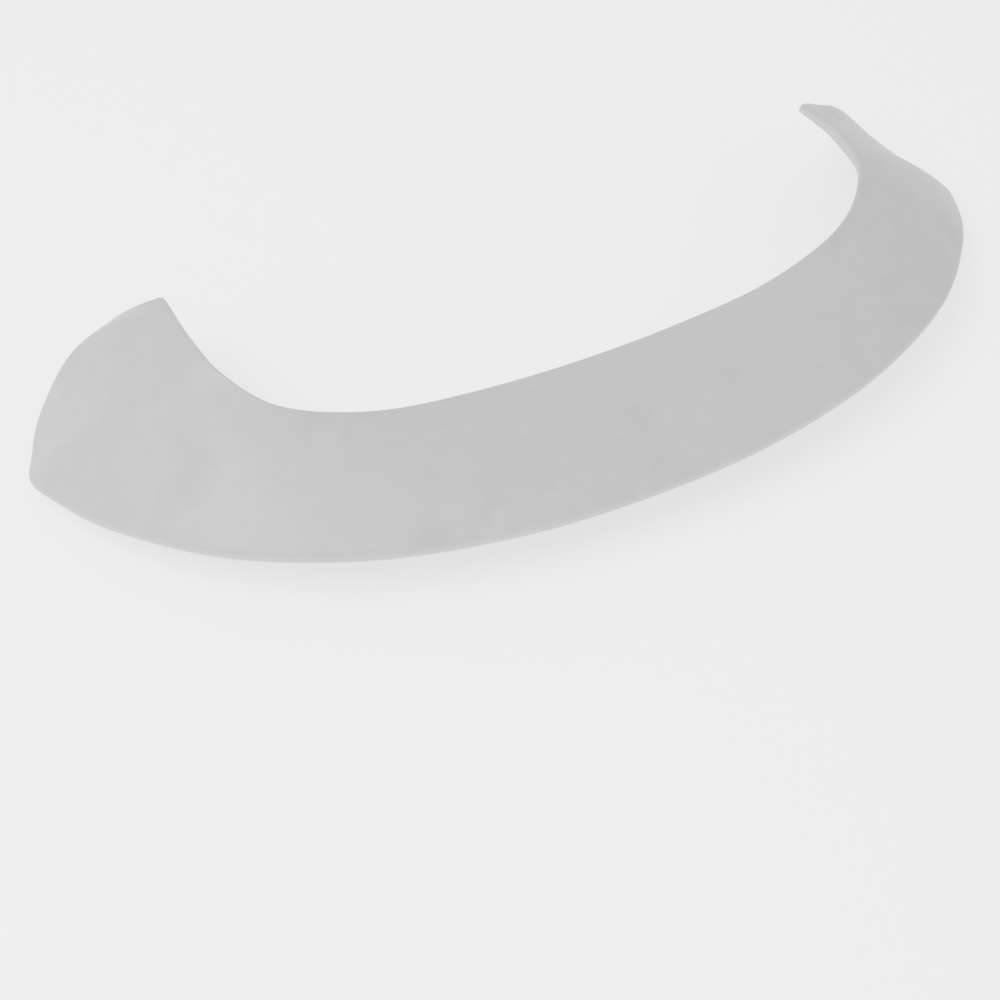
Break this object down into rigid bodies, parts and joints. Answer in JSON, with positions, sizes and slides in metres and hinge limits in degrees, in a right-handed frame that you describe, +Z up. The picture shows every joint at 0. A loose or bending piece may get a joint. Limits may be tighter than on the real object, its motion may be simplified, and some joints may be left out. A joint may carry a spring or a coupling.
{
  "type": "roof spoiler",
  "caption": "One-piece moulded roof spoiler for a hatchback: a crowned blade with a rounded trailing edge and an arm that sweeps forward at each end, in pale grey primer.",
  "frame": {"origin": "Middle of the box in X and Y, and its bottom in Z, so the spoiler stands on Z = 0.", "axes": "X runs across the car along the blade, Y towards the front of the car, Z up."},
  "size_m": [1.1448, 0.4108, 0.1913],
  "materials": {
    "primer": "satin"
  },
  "bodies": {
    "root": {"spoiler": "primer"}
  },
  "joints": []
}
